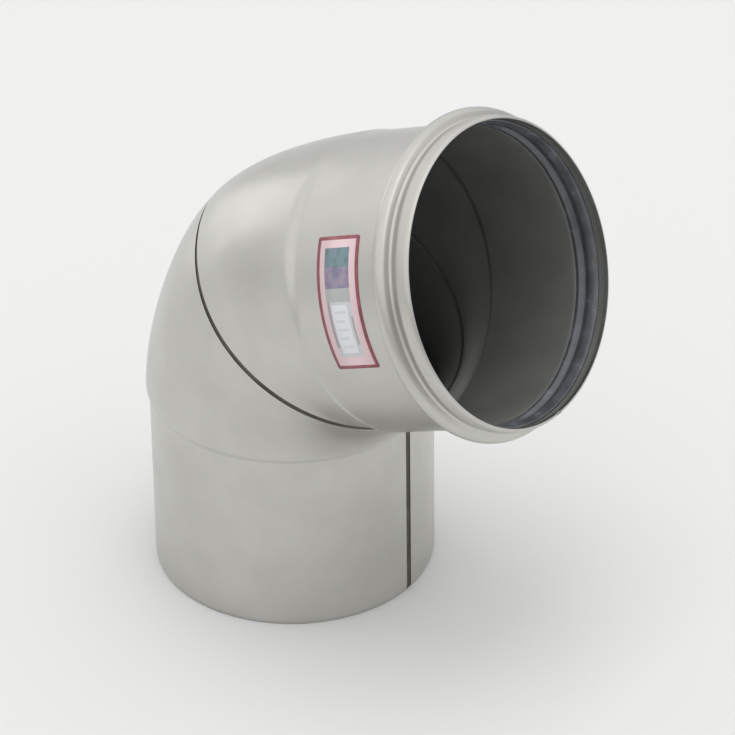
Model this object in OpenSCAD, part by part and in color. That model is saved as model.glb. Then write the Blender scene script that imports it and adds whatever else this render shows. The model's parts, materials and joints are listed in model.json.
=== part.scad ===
// Flue elbow: a plain spigot at the bottom, an oblique welded joint, and a socket
// with a seal chamber at the outlet. Millimetres, +Z up. The origin is the centre
// of the spigot's end, and the outlet leans towards +X.

/* [Tubes] */
// Outer radius of the spigot
spigot_r = 50; // [49.9:0.05:50.05]
// Inner radius of the socket, where the next pipe's spigot slides
bore_r = 50.25; // [50.2:0.05:50.4]
// Sheet thickness
wall = 1.2; // [1:0.1:1.4]

/* [Bend] */
// Angle between the spigot's axis and the outlet's axis
bend = 67.5; // [66:0.5:69]
// Height at which the two axes meet
bend_z = 108; // [107:0.5:110]
// Straight length of the spigot
spigot_len = 68; // [66:1:69]
// Distance along the outlet axis from the axes' meeting point to the formed zone's end
bore_start = 50; // [49:0.5:52]
// Distance along the outlet axis from the axes' meeting point to the mouth
mouth = 100; // [100:0.5:102]

/* [Oblique joint] */
// Radius of the joint's round section
joint_r = 51.2; // [51:0.1:51.5]
// How much further than that radius the joint reaches at the heel
heel_reach = 4.5; // [3:0.5:5]
// How far the joint's centre sits towards the throat
joint_in = 15; // [14:0.5:16]
// How far the joint lies towards the outlet from the plane that halves the bend
joint_off = 11; // [10:0.5:12]
// Slope of the heel where it crosses the joint, from the vertical
heel_slope = 41; // [38:1:44]
// Height of the soft step where each half's forming starts
form_step = 0.8; // [0.5:0.1:1]

/* [Socket end] */
// Outer radius of the seal bead's crest
bead_r = 56.4; // [56:0.1:57]
// Distance of the bead's crest behind the mouth
bead_back = 10.5; // [10.3:0.1:10.8]
// Outer radius at the bottom of the groove between bead and rim
groove_r = 52.3; // [52:0.1:52.5]
// Outer radius of the rim's crest
rim_r = 53.2; // [53:0.1:53.4]
// Distance of the rim's crest behind the mouth
rim_back = 4; // [3.8:0.1:4.2]
// Outer radius of the curl that turns the mouth's edge in
curl = 1.4; // [1.3:0.1:1.5]

/* [Welds, seal and label] */
// Width of the weld round the oblique joint
joint_weld_w = 2; // [1.5:0.1:2.5]
// Width of the lengthwise weld in each half
seam_w = 2.6; // [2:0.1:3]
// Inner radius of the seal's lip when a pipe is in it
lip_r = 50.12; // [50.1:0.01:50.15]
// Length of the label along the outlet axis
label_len = 18; // [15:0.5:20]
// Distance of the label's near edge from the axes' meeting point
label_start = 59.6; // [58:0.2:62]
// Angle from the outlet's top to the label's upper edge
label_from = 48.5; // [45:0.5:55]
// Angle from the outlet's top to the label's lower edge
label_to = 99.5; // [95:0.5:105]
// Thickness of the label
label_t = 0.15; // [0.1:0.05:0.2]

/* [Hidden] */

round_fn = 180;
ring_sides = 72;
ring_steps = 13;
socket_r = bore_r + wall;

// Directions in the bend plane, as [x, z]
along = [sin(bend), cos(bend)];
above = [-cos(bend), sin(bend)];
to_heel = [-cos(bend / 2), sin(bend / 2)];
across = [sin(bend / 2), cos(bend / 2)];
heel_dir = [sin(heel_slope), cos(heel_slope)];
meet = [0, bend_z];
joint_c = meet - to_heel * joint_in + across * joint_off;
joint_heel = joint_c + to_heel * (joint_r + heel_reach);
joint_throat = joint_c - to_heel * joint_r;
half_weld = across * joint_weld_w / 2;

// Slope of the throat where it crosses the joint, and its handles' lengths
throat_dir = [sin(75), cos(75)];
throat_handle = 5.5;
throat_exit = 1.5;

// Each half's tongue lies inside the tube's wall, so that tube and formed zone are one piece
tongue_len = 6;
tongue_out = 0.35;
tongue_rise = 0.3;
step_share = 0.1;

function mix(a, b, s) = a + (b - a) * s;
function bezier(p, s) =
    p[0] * pow(1 - s, 3) + p[1] * 3 * s * pow(1 - s, 2)
    + p[2] * 3 * s * s * (1 - s) + p[3] * pow(s, 3);

// Radius of a formed ring, from the tube (s = 0) to the joint (s = 1)
function ring_r(tube_r, s) =
    mix(tube_r + form_step * min(1, s / step_share), joint_r, s);

// A ring is [heel point, throat point, outer radius, inner radius]
spigot_heel = [
    [-spigot_r, spigot_len],
    [-spigot_r, spigot_len + 18.5],
    joint_heel - half_weld - heel_dir * 24.5,
    joint_heel - half_weld
];
spigot_throat = [
    [spigot_r, spigot_len],
    [spigot_r, spigot_len + throat_handle],
    joint_throat - half_weld - throat_dir * throat_handle,
    joint_throat - half_weld
];
socket_heel = [
    meet + along * bore_start + above * socket_r,
    meet + along * (bore_start - 25.5) + above * socket_r,
    joint_heel + half_weld + heel_dir * 18.5,
    joint_heel + half_weld
];
socket_throat = [
    meet + along * bore_start - above * socket_r,
    meet + along * (bore_start - throat_exit) - above * socket_r,
    joint_throat + half_weld + throat_dir * throat_exit,
    joint_throat + half_weld
];

// Rings of the tongue: inside the tube's wall, back along the tube by d
function tongue(heel, throat, back, d, tube_r) =
    let (c = (heel + throat) / 2, side = (heel - throat) / norm(heel - throat))
    [
        c - back * d + side * (tube_r - tongue_out),
        c - back * d - side * (tube_r - tongue_out),
        tube_r - tongue_out,
        tube_r - wall + tongue_out
    ];

function formed(heel, throat, back, tube_r) = concat(
    [
        tongue(heel[0], throat[0], back, tongue_len, tube_r),
        tongue(heel[0], throat[0], back, -tongue_rise, tube_r)
    ],
    [
        for (i = [1 : ring_steps])
            let (
                s = i / ring_steps,
                r = ring_r(tube_r, s)
            )
            [bezier(heel, s), bezier(throat, s), r, r - wall]
    ]
);

// The spigot half's rings rise to the joint, and the socket half's run on from it
spigot_rings = formed(spigot_heel, spigot_throat, [0, 1], spigot_r);
from_socket = formed(socket_heel, socket_throat, -along, socket_r);
socket_rings = [for (i = [len(from_socket) - 1 : -1 : 0]) from_socket[i]];

// A point on a ring at angle a from the heel, with the radius r of its skin
function ring_point(ring, a, r) =
    let (
        span = norm(ring[0] - ring[1]),
        side = (ring[0] - ring[1]) / span,
        c = ring[1] + side * ring[2],
        egg = (span - 2 * ring[2]) * pow(max(0, cos(a)), 6),
        p = c + side * (r * cos(a) + egg)
    )
    [p[0], r * sin(a), p[1]];

// A wall through the rings, over the angles in list a
module shell(rings, a, closed = false) {
    n = len(a);
    loop = 2 * n;
    points = [
        for (ring = rings) each concat(
            [for (x = a) ring_point(ring, x, ring[2])],
            [for (i = [n - 1 : -1 : 0]) ring_point(ring, a[i], ring[3])]
        )
    ];
    steps = [for (k = [0 : loop - 1]) if (!closed || (k != n - 1 && k != loop - 1)) k];
    sides = [
        for (i = [0 : len(rings) - 2], k = steps)
            let (p = i * loop + k, q = i * loop + (k + 1) % loop)
            each [[p, q, p + loop], [q, q + loop, p + loop]]
    ];
    last = (len(rings) - 1) * loop;
    caps = [
        for (k = [0 : n - 2])
            let (o = loop - 1 - k)
            each [
                [k, o, k + 1], [k + 1, o, o - 1],
                [last + k, last + k + 1, last + o], [last + k + 1, last + o - 1, last + o]
            ]
    ];
    polyhedron(points = points, faces = concat(sides, caps), convexity = 8);
}

// Angles round a ring that leave out the lengthwise weld at the throat
seam_half = asin(seam_w / 2 / joint_r);
open_angles = [
    for (i = [0 : ring_sides]) -180 + seam_half + i * (360 - 2 * seam_half) / ring_sides
];
seam_angles = [180 - seam_half, 180, 180 + seam_half];

// Outline of the socket's outer face as [radius, distance from the meeting point]
bead_at = mouth - bead_back;
flank = 78;
crest = 2.4;
fillet = 1;
arc_steps = 8;
rim_at = mouth - rim_back;
curl_drop = 0.2;
curl_end = 84;

function run(rise) = (rise - (crest + fillet) * (1 - cos(flank))) / tan(flank);
function flank_len(rise) = (crest + fillet) * sin(flank) + run(rise);
bead_foot = bead_at - flank_len(bead_r - socket_r);
groove_at = bead_at + flank_len(bead_r - groove_r);

socket_outline = concat(
    [[socket_r, bore_start]],
    [
        for (i = [0 : arc_steps])
            let (a = flank * i / arc_steps)
            [socket_r + fillet * (1 - cos(a)), bead_foot + fillet * sin(a)]
    ],
    [
        for (i = [0 : 2 * arc_steps])
            let (a = -flank + flank * i / arc_steps)
            [bead_r - crest * (1 - cos(a)), bead_at + crest * sin(a)]
    ],
    [
        for (i = [arc_steps : -1 : 0])
            let (a = flank * i / arc_steps)
            [groove_r + fillet * (1 - cos(a)), groove_at - fillet * sin(a)]
    ],
    [
        for (i = [1 : arc_steps])
            let (s = i / arc_steps)
            [mix(groove_r, rim_r, (1 - cos(180 * s)) / 2), mix(groove_at, rim_at, s)]
    ],
    [
        for (i = [1 : arc_steps])
            let (s = i / arc_steps)
            [rim_r - curl_drop * s * s, mix(rim_at, mouth - curl, s)]
    ],
    [
        for (i = [1 : arc_steps])
            let (a = curl_end * i / arc_steps)
            [rim_r - curl_drop - curl * (1 - cos(a)), mouth - curl + curl * sin(a)]
    ]
);

// The same outline set in by d, at right angles to the sheet
function inset_point(line, i, d) =
    let (
        t = line[min(i + 1, len(line) - 1)] - line[max(i - 1, 0)],
        n = [t[1], -t[0]] / norm(t)
    )
    line[i] - n * d;
function inset(line, d) = [
    for (i = [0 : len(line) - 1])
        i == 0 || i == 1 ? [line[i][0] - d, line[i][1]] : inset_point(line, i, d)
];
bore_outline = inset(socket_outline, wall);

// The seal fills the bead's chamber, with a lip that bears on the pipe, a ridge in front of
// it and a flange that lines the groove up to the rim's crest
chamber_first = arc_steps / 2 + 2;
chamber_last = 5 * arc_steps + 3;
seal_gap = 0.06;
seal_back = inset(socket_outline, wall + seal_gap);

seal_flange = 0.8;
seal_outline = concat(
    [for (i = [chamber_first : chamber_last]) seal_back[i]],
    [
        seal_back[chamber_last] - [seal_flange, 0],
        [groove_r - wall - 0.9, groove_at + 0.1],
        [groove_r - wall - 0.7, groove_at - 1.6],
        [bore_r + 1.6, bead_at + 1.4],
        [bore_r + 1.2, bead_at + 0.4],
        [lip_r, bead_at - 1],
        [lip_r, bead_at - 2],
        [bore_r + 0.5, bead_at - 2.8]
    ]
);

module on_outlet() {
    translate([0, 0, bend_z]) rotate([0, bend, 0]) children();
}

module spigot_tube() {
    difference() {
        cylinder(r = spigot_r, h = spigot_len, $fn = round_fn);
        translate([0, 0, -1]) cylinder(r = spigot_r - wall, h = spigot_len + 2, $fn = round_fn);
    }
}

module socket_tube() {
    rotate_extrude($fn = round_fn)
        polygon(concat(
            socket_outline,
            [for (i = [len(bore_outline) - 1 : -1 : 0]) bore_outline[i]]
        ));
}

// The gap that the lengthwise weld fills, on the tube's throat side
module seam_gap(from, to) {
    translate([bore_r - 5, -seam_w / 2, from]) cube([15, seam_w, to - from]);
}

module spigot_half() {
    color("silver") {
        difference() {
            spigot_tube();
            seam_gap(-1, spigot_len + 1);
        }
        shell(spigot_rings, open_angles);
    }
}

module socket_half() {
    color("lightgray") {
        on_outlet() difference() {
            socket_tube();
            seam_gap(bore_start - 1, mouth + 1);
        }
        shell(socket_rings, open_angles);
    }
}

module spigot_seam_weld() {
    color("darkgray") {
        intersection() {
            spigot_tube();
            seam_gap(0, spigot_len);
        }
        shell(spigot_rings, seam_angles);
    }
}

module socket_seam_weld() {
    color("darkgray") {
        on_outlet() intersection() {
            socket_tube();
            seam_gap(bore_start, mouth);
        }
        shell(socket_rings, seam_angles);
    }
}

module joint_weld() {
    rings = [
        for (s = [-1, 1])
            [joint_heel + half_weld * s, joint_throat + half_weld * s, joint_r, joint_r - wall]
    ];
    color("gray")
        shell(rings, [for (i = [0 : ring_sides]) -180 + i * 360 / ring_sides], closed = true);
}

module seal_ring() {
    color("dimgray") on_outlet() rotate_extrude($fn = round_fn) polygon(seal_outline);
}

module label() {
    reach = 2 * socket_r;
    color("mistyrose") on_outlet() intersection() {
        translate([0, 0, label_start]) difference() {
            cylinder(r = socket_r + label_t, h = label_len, $fn = round_fn);
            translate([0, 0, -1]) cylinder(r = socket_r, h = label_len + 2, $fn = round_fn);
        }
        translate([0, 0, label_start - 1]) linear_extrude(label_len + 2) polygon([
            [0, 0],
            for (a = [label_from, (label_from + label_to) / 2, label_to])
                [-reach * cos(a), -reach * sin(a)]
        ]);
    }
}

spigot_half();
socket_half();
spigot_seam_weld();
socket_seam_weld();
joint_weld();
seal_ring();
label();
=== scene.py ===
import json
import math

import bmesh
import bpy
from mathutils import Matrix, Vector


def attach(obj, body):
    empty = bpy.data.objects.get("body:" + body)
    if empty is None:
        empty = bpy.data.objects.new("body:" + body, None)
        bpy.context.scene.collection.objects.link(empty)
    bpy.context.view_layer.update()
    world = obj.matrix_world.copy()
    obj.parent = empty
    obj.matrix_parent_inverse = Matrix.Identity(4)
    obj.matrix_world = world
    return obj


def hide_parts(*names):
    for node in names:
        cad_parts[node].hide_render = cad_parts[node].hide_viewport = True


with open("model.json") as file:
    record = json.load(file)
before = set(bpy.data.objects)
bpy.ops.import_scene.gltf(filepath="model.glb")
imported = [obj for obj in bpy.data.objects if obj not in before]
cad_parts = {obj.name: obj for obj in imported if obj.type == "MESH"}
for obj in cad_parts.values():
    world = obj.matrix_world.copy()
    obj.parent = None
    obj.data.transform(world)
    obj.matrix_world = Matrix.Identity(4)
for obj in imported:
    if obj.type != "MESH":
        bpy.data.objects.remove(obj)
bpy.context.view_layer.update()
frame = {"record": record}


# ---------------------------------------------------------------- spigot half
# The lower half of the bend: a straight spigot whose upper end is formed out to the
# oblique joint. It is rolled from 1.2 mm aluminium sheet, welded along the throat and
# pressed over a former, which leaves a soft step where the forming starts.

MM = 0.001
mounts = {mount["name"]: mount for mount in frame["record"]["mounts"]}
spigot_r = mounts["spigot"]["dims"]["r_mm"] * MM
spigot_len = mounts["spigot"]["dims"]["length_mm"] * MM
wall = 1.2 * MM
form_step = 0.8 * MM
cut_edge_round = 0.12 * MM

# The bend plane is Y = 0. The outlet's axis meets the spigot's at meet.
up = Vector((0, 0, 1))
outlet = Vector(mounts["socket"]["axis"])
bore_middle = Vector(mounts["socket"]["pos_m"])
meet = bore_middle - outlet * (bore_middle.x / outlet.x)
across = (outlet + up).normalized()
to_heel = Vector((-across.z, 0, across.x))

# The oblique joint: its round section, how far it reaches at the heel, and its place.
joint_r = 51.2 * MM
joint_off_heel = 15 * MM
joint_towards_outlet = 11 * MM
heel_reach = 4.5 * MM
joint_centre = meet - to_heel * joint_off_heel + across * joint_towards_outlet
joint_heel = joint_centre + to_heel * (joint_r + heel_reach)
joint_throat = joint_centre - to_heel * joint_r
joint_weld_w = 2.0 * MM
half_weld = across * joint_weld_w / 2
heel_slope = math.radians(41)
heel_dir = Vector((math.sin(heel_slope), 0, math.cos(heel_slope)))
throat_slope = math.radians(75)
throat_dir = Vector((math.sin(throat_slope), 0, math.cos(throat_slope)))

# The lengthwise weld fills a gap of this width, which each half leaves at the throat.
seam_w = 2.6 * MM
seam_half = math.asin(seam_w / 2 / joint_r)
round_steps = 288

# The forming's rings lie closer together at the step, which takes this share of its length.
# The heel's part of a ring is drawn out to an egg shape, the more so the higher the power.
formed_rings = 44
rings_power = 1.4
step_share = 0.07
egg_power = 6


def mix(a, b, share):
    return a + (b - a) * share


def eased(share):
    share = min(1, max(0, share))
    return share * share * (3 - 2 * share)


def bezier(points, s):
    a, b, c, d = points
    return a * (1 - s) ** 3 + b * 3 * s * (1 - s) ** 2 + c * 3 * s * s * (1 - s) + d * s ** 3


def ring_point(heel, throat, r, angle):
    """A point on a formed ring, at an angle from the heel towards -Y."""
    span = (heel - throat).length
    side = (heel - throat) / span
    egg = (span - 2 * r) * max(0, math.cos(angle)) ** egg_power
    point = throat + side * (r + r * math.cos(angle) + egg)
    return point + Vector((0, -r * math.sin(angle), 0))


def spun_tube(profile, tube):
    """Spins [radius, height] points round a tube's axis, open at the throat by the weld's gap."""
    bm = bmesh.new()
    bm.verts.layers.float.new("turn")
    bm.verts.layers.float.new("run")
    chain = [bm.verts.new((-r, 0, height)) for r, height in profile]
    edges = [bm.edges.new(pair) for pair in zip(chain, chain[1:])]
    bmesh.ops.rotate(bm, verts=chain, cent=(0, 0, 0), matrix=Matrix.Rotation(-math.pi + seam_half, 3, "Z"))
    bmesh.ops.spin(
        bm, geom=chain + edges, cent=(0, 0, 0), axis=(0, 0, 1),
        angle=2 * (math.pi - seam_half), steps=round_steps, use_duplicate=False,
    )
    turn, run = bm.verts.layers.float["turn"], bm.verts.layers.float["run"]
    for vert in bm.verts:
        vert[turn] = math.atan2(-vert.co.y, -vert.co.x)
        vert[run] = vert.co.z
    bmesh.ops.transform(bm, verts=bm.verts, matrix=tube)
    return bm


def form_on(bm, end_height, heel, throat, tube_r):
    """Draws the tube's end ring out, ring by ring, along two curves to the oblique joint."""
    turn, run = bm.verts.layers.float["turn"], bm.verts.layers.float["run"]
    ring = [e for e in bm.edges if all(abs(v[run] - end_height) < 1e-6 for v in e.verts)]
    onward = 1 if end_height > min(v[run] for v in bm.verts) + wall else -1
    for i in range(1, formed_rings + 1):
        s = (i / formed_rings) ** rings_power
        r = mix(tube_r + form_step * eased(s / step_share), joint_r, s)
        grown = bmesh.ops.extrude_edge_only(bm, edges=ring)["geom"]
        ring = [g for g in grown if isinstance(g, bmesh.types.BMEdge)]
        for vert in (g for g in grown if isinstance(g, bmesh.types.BMVert)):
            before = vert.co.copy()
            vert.co = ring_point(bezier(heel, s), bezier(throat, s), r, vert[turn])
            vert[run] += onward * (vert.co - before).length
    bmesh.ops.recalc_face_normals(bm, faces=bm.faces)


def finished(bm, name, node, materials):
    """Makes the mesh an object that stands for a CAD node."""
    mesh = bpy.data.meshes.new(name)
    for face in bm.faces:
        face.smooth = True
    bm.to_mesh(mesh)
    bm.free()
    piece = bpy.data.objects.new(name, mesh)
    bpy.context.scene.collection.objects.link(piece)
    for material in materials:
        mesh.materials.append(material)
    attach(piece, "root")
    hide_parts(node)
    return piece


def sheet_thickness(piece):
    """Gives a skin its sheet thickness inwards, and takes the sharpness off the cut edges."""
    solid = piece.modifiers.new("sheet", "SOLIDIFY")
    solid.thickness = wall
    solid.offset = -1
    solid.use_even_offset = True
    solid.material_offset = 1
    edges = piece.modifiers.new("cut_edges", "BEVEL")
    edges.width = cut_edge_round
    edges.segments = 3
    edges.limit_method = "ANGLE"
    edges.angle_limit = math.radians(55)
    edges.harden_normals = True


def linear(hex_colour):
    """An sRGB hex colour as linear RGBA."""
    parts = [int(hex_colour[i:i + 2], 16) / 255 for i in (0, 2, 4)]
    return [c / 12.92 if c <= 0.04045 else ((c + 0.055) / 1.055) ** 2.4 for c in parts] + [1]


def new_material(name):
    material = bpy.data.materials.new(name)
    material.use_nodes = True
    return material, material.node_tree, material.node_tree.nodes["Principled BSDF"]


def add(tree, kind, links=None, **settings):
    """Adds a node: settings are its properties or input values, links its inputs' sources."""
    node = tree.nodes.new(kind)
    for key, value in settings.items():
        if hasattr(node, key):
            setattr(node, key, value)
        else:
            node.inputs[key.replace("_", " ")].default_value = value
    for key, source in (links or {}).items():
        tree.links.new(source, node.inputs[key])
    return node


def tints(ramp, stops):
    """Sets a colour ramp's stops, given as {position: hex colour}."""
    elements = ramp.color_ramp.elements
    while len(elements) < len(stops):
        elements.new(0.5)
    for element, (position, colour) in zip(elements, stops.items()):
        element.position = position
        element.color = linear(colour)


# Rolled and pressed aluminium sheet: satin, with a fine lengthwise rolling grain drawn
# coarser than life so that it shows, soft cloudy patches from handling, and small dull marks.
grain_w = 0.5 * MM
grain_len = 25 * MM
grain_h = 0.02 * MM
cloud_size = 18 * MM
mark_size = 3 * MM


def pressed_aluminium():
    material, tree, shader = new_material("pressed aluminium sheet, satin")
    place = add(tree, "ShaderNodeTexCoord").outputs["Object"]
    turn = add(tree, "ShaderNodeAttribute", attribute_name="turn").outputs["Fac"]
    run = add(tree, "ShaderNodeAttribute", attribute_name="run").outputs["Fac"]
    flat = add(tree, "ShaderNodeCombineXYZ", {"X": turn, "Y": run})
    grain_at = add(tree, "ShaderNodeMapping", {"Vector": flat.outputs[0]})
    grain_at.inputs["Scale"].default_value = (spigot_r / grain_w, 1 / grain_len, 1)
    grain = add(tree, "ShaderNodeTexNoise", {"Vector": grain_at.outputs[0]}, Scale=1, Detail=3)
    cloud = add(tree, "ShaderNodeTexNoise", {"Vector": place}, Scale=1 / cloud_size, Detail=4)
    marks = add(tree, "ShaderNodeTexNoise", {"Vector": place}, Scale=1 / mark_size, Detail=5)
    tone = add(tree, "ShaderNodeValToRGB", {"Fac": cloud.outputs["Fac"]})
    tints(tone, {0.25: "c1c0bb", 0.5: "c6c5c0", 0.75: "cbcac6"})
    tree.links.new(tone.outputs["Color"], shader.inputs["Base Color"])
    shader.inputs["Metallic"].default_value = 1
    worn = add(tree, "ShaderNodeMath", {0: grain.outputs["Fac"], 1: marks.outputs["Fac"]}, operation="ADD")
    rough = add(tree, "ShaderNodeMapRange", {"Value": worn.outputs[0]})
    rough.inputs["From Min"].default_value = 0.6
    rough.inputs["From Max"].default_value = 1.4
    rough.inputs["To Min"].default_value = 0.27
    rough.inputs["To Max"].default_value = 0.37
    tree.links.new(rough.outputs[0], shader.inputs["Roughness"])
    bump = add(tree, "ShaderNodeBump", {"Height": grain.outputs["Fac"]}, Strength=0.25, Distance=grain_h)
    tree.links.new(bump.outputs[0], shader.inputs["Normal"])
    return material


# The inside is drawn in a darker grey satin that is not metallic: painted shade for the dim inside of the
# bent tube.
def painted_shade_inside():
    material, tree, shader = new_material("painted shade inside, darker grey satin")
    place = add(tree, "ShaderNodeTexCoord").outputs["Object"]
    cloud = add(tree, "ShaderNodeTexNoise", {"Vector": place}, Scale=1 / cloud_size, Detail=4)
    tone = add(tree, "ShaderNodeValToRGB", {"Fac": cloud.outputs["Fac"]})
    # Grey tones darker than the outer sheet's: painted shade for the inside, varied at random.
    tints(tone, {0.3: "6c6c6a", 0.7: "787875"})
    tree.links.new(tone.outputs["Color"], shader.inputs["Base Color"])
    rough = add(tree, "ShaderNodeMapRange", {"Value": cloud.outputs["Fac"]})
    rough.inputs["To Min"].default_value = 0.38
    rough.inputs["To Max"].default_value = 0.5
    tree.links.new(rough.outputs[0], shader.inputs["Roughness"])
    return material


aluminium = pressed_aluminium()
inside = painted_shade_inside()

# The spigot's end is drawn in a little, so that it enters the next socket easily.
draw_in = 0.7 * MM
draw_len = 2.5 * MM
draw_steps = 8
tube_steps = 16
spigot_profile = [
    [spigot_r - draw_in * (1 - i / draw_steps) ** 2, draw_len * i / draw_steps]
    for i in range(draw_steps)
]
spigot_profile += [
    [spigot_r, mix(draw_len, spigot_len, i / tube_steps)] for i in range(tube_steps + 1)
]

# How far each curve of the forming follows the tube, and how far it follows the joint's slope.
heel_off_tube = 18.5 * MM
heel_to_joint = 24.5 * MM
throat_bend = 5.5 * MM
spigot_heel = [
    Vector((-spigot_r, 0, spigot_len)),
    Vector((-spigot_r, 0, spigot_len + heel_off_tube)),
    joint_heel - half_weld - heel_dir * heel_to_joint,
    joint_heel - half_weld,
]
spigot_throat = [
    Vector((spigot_r, 0, spigot_len)),
    Vector((spigot_r, 0, spigot_len + throat_bend)),
    joint_throat - half_weld - throat_dir * throat_bend,
    joint_throat - half_weld,
]
lower = spun_tube(spigot_profile, Matrix.Identity(4))
form_on(lower, spigot_len, spigot_heel, spigot_throat, spigot_r)
sheet_thickness(finished(lower, "lower_half", "spigot_half", [aluminium, inside]))


# ---------------------------------------------------------------- socket half
# The upper half of the bend, formed the same way and then expanded into a socket. A bead
# is rolled in near the mouth for the seal, with a groove behind a small flared rim.

bore_r = mounts["socket"]["dims"]["r_mm"] * MM
socket_r = bore_r + wall
bore_start = 50 * MM
mouth = 100 * MM
bead_r = 56.4 * MM
bead_at = mouth - 10.5 * MM
groove_r = 52.3 * MM
rim_r = 53.2 * MM
rim_at = mouth - 4 * MM
rim_drop = 0.2 * MM
curl = 1.4 * MM
curl_end = math.radians(84)
flank = math.radians(78)
crest = 2.4 * MM
fillet = 1.0 * MM
above = Vector((-outlet.z, 0, outlet.x))
outlet_turn = Matrix.Translation(meet) @ Matrix.Rotation(math.acos(outlet.z), 4, "Y")


def arc(r, at, size, start, stop, steps, hollow=1):
    """Points of a fillet or a crest, as [radius, distance along the axis]."""
    angles = [mix(start, stop, i / steps) for i in range(steps + 1)]
    return [[r + hollow * size * (1 - math.cos(a)), at + size * math.sin(a)] for a in angles]


def flank_len(rise):
    straight = (rise - (crest + fillet) * (1 - math.cos(flank))) / math.tan(flank)
    return (crest + fillet) * math.sin(flank) + straight


bead_foot = bead_at - flank_len(bead_r - socket_r)
groove_at = bead_at + flank_len(bead_r - groove_r)
curve_steps = 8
bore_steps = 12
shares = [i / curve_steps for i in range(1, curve_steps + 1)]
bore = [[socket_r, mix(bore_start, bead_foot, i / bore_steps)] for i in range(bore_steps)]
bead = arc(socket_r, bead_foot, fillet, 0, flank, curve_steps)
bead += arc(bead_r, bead_at, crest, -flank, flank, 2 * curve_steps, hollow=-1)
groove = [[r, 2 * groove_at - at] for r, at in arc(groove_r, groove_at, fillet, flank, 0, curve_steps)]
groove += [
    [mix(groove_r, rim_r, (1 - math.cos(math.pi * s)) / 2), mix(groove_at, rim_at, s)]
    for s in shares
]
rim = [[rim_r - rim_drop * s * s, mix(rim_at, mouth - curl, s)] for s in shares]
rim += arc(rim_r - rim_drop, mouth - curl, curl, 0, curl_end, curve_steps, hollow=-1)[1:]
socket_profile = bore + bead + groove + rim

# The upper half's curves of forming, as on the lower half.
heel_off_socket = 25.5 * MM
heel_from_joint = 18.5 * MM
short_bend = 1.5 * MM
socket_heel = [
    meet + outlet * bore_start + above * socket_r,
    meet + outlet * (bore_start - heel_off_socket) + above * socket_r,
    joint_heel + half_weld + heel_dir * heel_from_joint,
    joint_heel + half_weld,
]
socket_throat = [
    meet + outlet * bore_start - above * socket_r,
    meet + outlet * (bore_start - short_bend) - above * socket_r,
    joint_throat + half_weld + throat_dir * short_bend,
    joint_throat + half_weld,
]
upper = spun_tube(socket_profile, outlet_turn)
form_on(upper, bore_start, socket_heel, socket_throat, socket_r)
sheet_thickness(finished(upper, "upper_half", "socket_half", [aluminium, inside]))


# ---------------------------------------------------------------- welds
# Thin fused beads without filler, one along each half's throat and one round the joint.
# They lie a little below the skin, with fine ripples. The socket's is rolled nearly flush.

weld_sink = 0.4 * MM
ripple_pitch = 1.4 * MM
ripple_h = 0.05 * MM
stations_per_ripple = 4
weld_rows = 6
crown_share = 0.4
rolled_sink = 0.06 * MM
curve_points = 12
stain_size = 6 * MM


# Fused aluminium, melted without filler: duller than the sheet, with a cloudy heat stain.
def fused_weld(name, stops):
    material, tree, shader = new_material(name)
    place = add(tree, "ShaderNodeTexCoord").outputs["Object"]
    stain = add(tree, "ShaderNodeTexNoise", {"Vector": place}, Scale=1 / stain_size, Detail=4)
    tone = add(tree, "ShaderNodeValToRGB", {"Fac": stain.outputs["Fac"]})
    tints(tone, stops)
    tree.links.new(tone.outputs["Color"], shader.inputs["Base Color"])
    shader.inputs["Metallic"].default_value = 1
    rough = add(tree, "ShaderNodeMapRange", {"Value": stain.outputs["Fac"]})
    rough.inputs["To Min"].default_value = 0.5
    rough.inputs["To Max"].default_value = 0.7
    tree.links.new(rough.outputs[0], shader.inputs["Roughness"])
    return material


def lay_weld(name, node, metal, stations, width, sink=weld_sink, closed=False):
    """Drapes a strip over stations of (place on the skin, outward, across the weld)."""
    columns = len(stations) - 1
    bm = bmesh.new()
    bmesh.ops.create_grid(bm, x_segments=columns, y_segments=weld_rows, size=0.5)
    for vert in bm.verts:
        i, share = round((vert.co.x + 0.5) * columns), vert.co.y + 0.5
        place, outward, sideways = stations[i]
        crown = 1 - (2 * share - 1) ** 2
        ripple = ripple_h * crown * math.sin(2 * math.pi * i / stations_per_ripple)
        rise = (ripple - weld_sink * (1 - crown_share * crown)) * sink / weld_sink
        vert.co = place + sideways * (share - 0.5) * width + outward * rise
    if closed:
        bmesh.ops.remove_doubles(bm, verts=bm.verts, dist=0.001 * MM)
    bmesh.ops.recalc_face_normals(bm, faces=bm.faces)
    bm.faces.ensure_lookup_table()
    if bm.faces[0].normal.dot(stations[0][1]) < 0:
        bmesh.ops.reverse_faces(bm, faces=bm.faces)
    piece = finished(bm, name, node, [metal, inside])
    solid = piece.modifiers.new("root", "SOLIDIFY")
    solid.thickness = wall - sink
    solid.offset = -1
    solid.use_even_offset = True
    solid.material_offset = 1


def throat_stations(line):
    """Stations a quarter ripple apart along a line of points on the throat's skin."""
    path = [line[0]]
    for a, b in zip(line, line[1:]):
        steps = max(1, round((b - a).length / (ripple_pitch / stations_per_ripple)))
        path += [mix(a, b, i / steps) for i in range(1, steps + 1)]
    ways = [b - a for a, b in zip(path[:1] + path, path[1:] + path[-1:])]
    sideways = Vector((0, 1, 0))
    return [(place, sideways.cross(way).normalized(), sideways) for place, way in zip(path, ways)]


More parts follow.
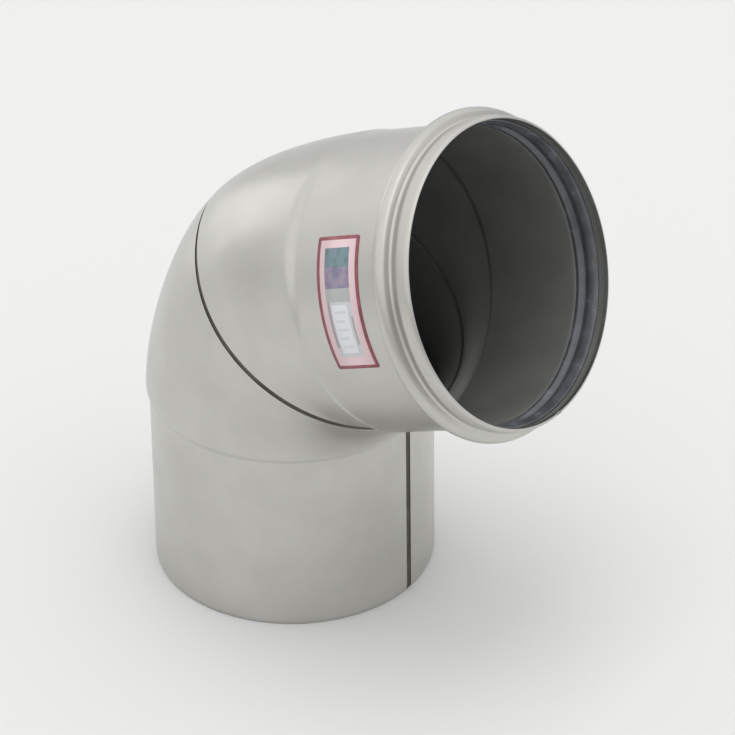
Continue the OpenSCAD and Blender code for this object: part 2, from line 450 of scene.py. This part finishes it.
stained = fused_weld("fused weld, dull and heat stained", {0.3: "55524c", 0.6: "66635d", 0.8: "77746e"})
rolled = fused_weld("fused weld, rolled flat", {0.3: "9c9b95", 0.6: "a8a7a1", 0.8: "b2b1ac"})
lower_line = [Vector((r, 0, height)) for r, height in spigot_profile[:-1]]
lower_line += [bezier(spigot_throat, i / curve_points) for i in range(curve_points + 1)]
lay_weld("lower_seam_weld", "spigot_seam_weld", stained, throat_stations(lower_line), seam_w)
upper_line = [bezier(socket_throat, 1 - i / curve_points) for i in range(curve_points + 1)]
upper_line += [meet + outlet * at - above * r for r, at in socket_profile[1:]]
upper_stations = throat_stations(upper_line)
lay_weld("upper_seam_weld", "socket_seam_weld", rolled, upper_stations, seam_w, rolled_sink)

around = 2 * math.pi * joint_r
joint_steps = stations_per_ripple * round(around / ripple_pitch)
joint_stations = []
for i in range(joint_steps + 1):
    angle = 2 * math.pi * i / joint_steps
    outward = (to_heel * math.cos(angle) - Vector((0, math.sin(angle), 0))).normalized()
    joint_stations.append((ring_point(joint_heel, joint_throat, joint_r, angle), outward, across))
lay_weld("joint_weld_bead", "joint_weld", stained, joint_stations, joint_weld_w, closed=True)


# ---------------------------------------------------------------- seal ring
# A moulded black rubber ring in the bead's chamber. It has a lip that bears on the pipe, a
# ridge in front of it, a flange that lines the groove, and two small raised mould marks.

seal_gap = 0.06 * MM
seal_round = 0.35 * MM
seal_steps = 240
seal_flange = 0.8 * MM
lip_r = bore_r - 0.13 * MM
bloom_size = 7 * MM
mark_turns = [math.radians(degrees) for degrees in (111, 114)]
mark_h = 0.3 * MM


def inset(line, depth):
    """The same outline set in by a depth, at right angles to itself."""
    moved = []
    for i, (r, at) in enumerate(line):
        before, after = line[max(i - 1, 0)], line[min(i + 1, len(line) - 1)]
        along_r, along_at = after[0] - before[0], after[1] - before[1]
        length = math.hypot(along_r, along_at)
        moved.append([r - depth * along_at / length, at + depth * along_r / length])
    return moved


# Moulded silicone rubber, pigmented black: smooth and greased, so it catches bright glints.
def black_rubber():
    material, tree, shader = new_material("moulded black rubber, slightly glossy")
    place = add(tree, "ShaderNodeTexCoord").outputs["Object"]
    bloom = add(tree, "ShaderNodeTexNoise", {"Vector": place}, Scale=1 / bloom_size, Detail=5)
    tone = add(tree, "ShaderNodeValToRGB", {"Fac": bloom.outputs["Fac"]})
    tints(tone, {0.35: "494b4f", 0.6: "595c62", 0.8: "777c85"})
    tree.links.new(tone.outputs["Color"], shader.inputs["Base Color"])
    rough = add(tree, "ShaderNodeMapRange", {"Value": bloom.outputs["Fac"]})
    rough.inputs["To Min"].default_value = 0.15
    rough.inputs["To Max"].default_value = 0.35
    tree.links.new(rough.outputs[0], shader.inputs["Roughness"])
    shader.inputs["Coat Weight"].default_value = 0.6
    shader.inputs["Coat Roughness"].default_value = 0.14
    return material


# The chamber's outline starts part way up the bead's back fillet and ends at the rim's crest.
seal_first = len(bore) + curve_steps // 2 + 1
seal_last = len(bore) + len(bead) + len(groove) - 1
chamber = inset(socket_profile, wall + seal_gap)[seal_first:seal_last + 1]
seal_profile = chamber + [
    [chamber[-1][0] - seal_flange, chamber[-1][1]],
    [groove_r - wall - 0.9 * MM, groove_at + 0.1 * MM],
    [groove_r - wall - 0.7 * MM, groove_at - 1.6 * MM],
    [bore_r + 1.6 * MM, bead_at + 1.4 * MM],
    [bore_r + 1.2 * MM, bead_at + 0.4 * MM],
    [lip_r, bead_at - 1.0 * MM],
    [lip_r, bead_at - 2.0 * MM],
    [bore_r + 0.5 * MM, bead_at - 2.8 * MM],
]
bm = bmesh.new()
chain = [bm.verts.new((-r, 0, at)) for r, at in seal_profile]
edges = [bm.edges.new(pair) for pair in zip(chain, chain[1:] + chain[:1])]
bmesh.ops.spin(
    bm, geom=chain + edges, cent=(0, 0, 0), axis=(0, 0, 1), angle=2 * math.pi,
    steps=seal_steps, use_merge=True, use_duplicate=False,
)
bmesh.ops.remove_doubles(bm, verts=bm.verts, dist=0.001 * MM)
bmesh.ops.recalc_face_normals(bm, faces=bm.faces)
ridge_top = groove_r - wall - 0.5 * MM
for vert in bm.verts:
    turned = math.atan2(vert.co.y, -vert.co.x)
    inner = vert.co.xy.length < ridge_top and vert.co.z > bead_at + MM
    if inner and min(abs(turned - mark) for mark in mark_turns) < math.pi / seal_steps:
        vert.co.xy *= 1 - mark_h / vert.co.xy.length
bmesh.ops.transform(bm, verts=bm.verts, matrix=outlet_turn)
seal = finished(bm, "lip_seal", "seal_ring", [black_rubber()])
rounding = seal.modifiers.new("moulded_edges", "BEVEL")
rounding.width = seal_round
rounding.segments = 3
rounding.limit_method = "ANGLE"
rounding.angle_limit = math.radians(20)


# ---------------------------------------------------------------- label
# A printed film label, stuck on the near side of the outlet. It has a dark red border, a pale
# margin, and a plain print of soft colour patches over blank bars, without any lettering.

label_len = 18 * MM
label_start = 59.6 * MM
label_from = math.radians(48.5)
label_to = math.radians(99.5)
label_t = 0.15 * MM
label_corner = 0.8 * MM
label_high = (label_to - label_from) * socket_r
slice_h = 0.75 * MM


# Printed polypropylene film under a satin varnish, whose inks are soft and a little uneven.
border_patch = 4
ink_patch = 10 / 3


def printed_film():
    material, tree, shader = new_material("printed plastic film")
    in_mm = add(tree, "ShaderNodeTexCoord").outputs["UV"]
    on_label = add(tree, "ShaderNodeSeparateXYZ", {"Vector": in_mm})
    x, y = on_label.outputs["X"], on_label.outputs["Y"]

    def printed(under, colour, left, right, top, bottom):
        """Lays a printed area over what is under it. Its edges are in mm from the top left."""
        column = add(tree, "ShaderNodeMath", {0: x}, operation="COMPARE")
        column.inputs[1].default_value = (left + right) / 2
        column.inputs[2].default_value = (right - left) / 2
        row = add(tree, "ShaderNodeMath", {0: y}, operation="COMPARE")
        row.inputs[1].default_value = (top + bottom) / 2
        row.inputs[2].default_value = (bottom - top) / 2
        area = add(tree, "ShaderNodeMath", {0: column.outputs[0], 1: row.outputs[0]}, operation="MULTIPLY")
        layer = add(tree, "ShaderNodeMixRGB", {"Fac": area.outputs[0], "Color1": under})
        if isinstance(colour, str):
            layer.inputs["Color2"].default_value = linear(colour)
        else:
            tree.links.new(colour, layer.inputs["Color2"])
        return layer.outputs["Color"]

    wide, high = label_len / MM, label_high / MM
    border = add(tree, "ShaderNodeTexNoise", {"Vector": in_mm}, Scale=1 / border_patch)
    red = add(tree, "ShaderNodeValToRGB", {"Fac": border.outputs["Fac"]})
    tints(red, {0.3: "874850", 0.6: "9c5a62"})
    patches = add(tree, "ShaderNodeTexNoise", {"Vector": in_mm}, Scale=1 / ink_patch, Detail=2)
    cool = add(tree, "ShaderNodeValToRGB", {"Fac": patches.outputs["Fac"]})
    tints(cool, {0.35: "667c85", 0.5: "728c90", 0.65: "7a8498"})
    violet = add(tree, "ShaderNodeValToRGB", {"Fac": patches.outputs["Fac"]})
    tints(violet, {0.35: "7b778f", 0.5: "8d8399", 0.65: "9a8f9f"})
    rule = 1.3
    face = printed(red.outputs["Color"], "e2c8cc", rule, wide - rule, rule, high - rule)
    face = printed(face, "c9c9cc", 3.4, wide - 4.0, 4.0, high - 4.5)
    face = printed(face, cool.outputs["Color"], 3.4, wide - 4.0, 4.0, 10.5)
    face = printed(face, violet.outputs["Color"], 3.4, wide - 4.0, 10.5, 17.5)
    face = printed(face, "aeb3b1", 3.4, wide - 4.0, 17.5, 22.0)
    face = printed(face, "dcdde0", 5.2, wide - 6.0, 23.0, high - 6.0)
    for i in range(5):
        face = printed(face, "cfd0d4", 6.2, wide - 7.0 - i % 2, 25.0 + 3 * i, 26.0 + 3 * i)
    face = printed(face, "a79aa5", 3.6, 4.6, 22.0, high - 8.0)
    face = printed(face, "a8a8a2", wide - 5.0, wide - 4.2, 27.0, high - 9.0)
    tree.links.new(face, shader.inputs["Base Color"])
    shader.inputs["Roughness"].default_value = 0.38
    return material


bm = bmesh.new()
bmesh.ops.create_grid(bm, x_segments=1, y_segments=1, size=0.5)
bmesh.ops.scale(bm, verts=bm.verts, vec=(label_len, label_high, 1))
bmesh.ops.translate(bm, verts=bm.verts, vec=(label_len / 2, label_high / 2, 0))
bmesh.ops.bevel(
    bm, geom=list(bm.verts), offset=label_corner, offset_type="OFFSET", affect="VERTICES",
    segments=5, profile=0.5, material=-1,
)
for i in range(1, round(label_high / slice_h)):
    bmesh.ops.bisect_plane(
        bm, geom=list(bm.verts) + list(bm.edges) + list(bm.faces), plane_co=(0, i * slice_h, 0),
        plane_no=(0, 1, 0), dist=1e-7,
    )
on_film = bm.loops.layers.uv.new("label")
for face in bm.faces:
    for loop in face.loops:
        loop[on_film].uv = (loop.vert.co.x / MM, loop.vert.co.y / MM)
for vert in bm.verts:
    angle = label_from + vert.co.y / socket_r
    outward = above * math.cos(angle) - Vector((0, math.sin(angle), 0))
    vert.co = meet + outlet * (label_start + vert.co.x) + outward * (socket_r + label_t)
bmesh.ops.recalc_face_normals(bm, faces=bm.faces)
bm.faces.ensure_lookup_table()
if bm.faces[0].normal.y > 0:
    bmesh.ops.reverse_faces(bm, faces=bm.faces)
film = finished(bm, "film_label", "label", [printed_film()])
backing = film.modifiers.new("film", "SOLIDIFY")
backing.thickness = label_t
backing.offset = -1


# ---------------------------------------------------------------- floor and light
# A plain pale floor in a small studio: walls that are lighter on the window's side, and soft
# lights from the window's side and from above.

floor_half = 6
floor_mesh = bpy.data.meshes.new("floor")
bm = bmesh.new()
bmesh.ops.create_grid(bm, x_segments=1, y_segments=1, size=floor_half)
bm.to_mesh(floor_mesh)
bm.free()
floor = bpy.data.objects.new("floor", floor_mesh)
bpy.context.scene.collection.objects.link(floor)
# Matt backdrop paper, pale and without gloss.
paper, tree, shader = new_material("matt white paper")
shader.inputs["Base Color"].default_value = linear("dadad9")
shader.inputs["Roughness"].default_value = 0.9
floor_mesh.materials.append(paper)

world = bpy.data.worlds.new("studio")
bpy.context.scene.world = world
world.use_nodes = True
sky = world.node_tree
height = add(sky, "ShaderNodeSeparateXYZ", {
    "Vector": add(sky, "ShaderNodeTexCoord").outputs["Generated"],
})
sideways = add(sky, "ShaderNodeMapRange", {"Value": height.outputs["X"]}, interpolation_type="SMOOTHSTEP")
sideways.inputs["From Min"].default_value = -0.6
sideways.inputs["From Max"].default_value = 0.9
sideways.inputs["To Min"].default_value = 0.7
sideways.inputs["To Max"].default_value = 0.35
walls = add(
    sky, "ShaderNodeMapRange", {"Value": height.outputs["Z"], "To Min": sideways.outputs[0]},
    interpolation_type="SMOOTHSTEP",
)
walls.inputs["From Max"].default_value = 0.45
ceiling = add(
    sky, "ShaderNodeMapRange", {"Value": height.outputs["Z"], "To Min": walls.outputs[0]},
    interpolation_type="SMOOTHSTEP",
)
ceiling.inputs["From Min"].default_value = 0.5
ceiling.inputs["From Max"].default_value = 0.95
ceiling.inputs["To Max"].default_value = 1.1
sky.links.new(ceiling.outputs[0], sky.nodes["Background"].inputs["Strength"])
sky.nodes["Background"].inputs["Color"].default_value = linear("ffffff")


def soft_light(name, place, size, watts, aim=meet):
    data = bpy.data.lights.new(name, "AREA")
    data.energy = watts
    data.size = size
    light = bpy.data.objects.new(name, data)
    bpy.context.scene.collection.objects.link(light)
    light.location = place
    light.rotation_euler = (Vector(aim) - Vector(place)).to_track_quat("-Z", "Y").to_euler()
    return light


soft_light("window_side", (-1.8, 0.3, 0.3), 1.0, 1.8)
soft_light("overhead_right", (1.1, 0.25, 1.35), 1.0, 1.3)
# A fill for the floor's shadows only, kept out of the metal's reflections.
floor_fill = soft_light("floor_fill", (0.0, 0.0, 2.0), 1.2, 9)
floor_fill.visible_glossy = False


# ---------------------------------------------------------------- camera
# Looks down at the elbow from the outlet's near side, with a long lens.

view_down = math.radians(32.91)
view_round = math.radians(54.09)
view_roll = math.radians(-0.745)
camera_distance = 32.0236 * spigot_r
aim_height = 2 * spigot_r
shift_right = 0.53992 * spigot_r
shift_up = -0.41736 * spigot_r
sensor = 36
lens = 225.5

back = Vector((
    math.cos(view_round) * math.cos(view_down),
    -math.sin(view_round) * math.cos(view_down),
    math.sin(view_down),
))
right = (-back).cross(up).normalized()
over = right.cross(-back)
turned_right = math.cos(view_roll) * right + math.sin(view_roll) * over
turned_up = -math.sin(view_roll) * right + math.cos(view_roll) * over
camera_data = bpy.data.cameras.new("camera")
camera_data.sensor_width = sensor
camera_data.lens = lens
camera = bpy.data.objects.new("camera", camera_data)
bpy.context.scene.collection.objects.link(camera)
axes = Matrix((turned_right, turned_up, back)).transposed()
spot = back * camera_distance + turned_right * shift_right + turned_up * shift_up + up * aim_height
camera.matrix_world = Matrix.Translation(spot) @ axes.to_4x4()
bpy.context.scene.camera = camera
bpy.context.scene.view_settings.view_transform = "Standard"
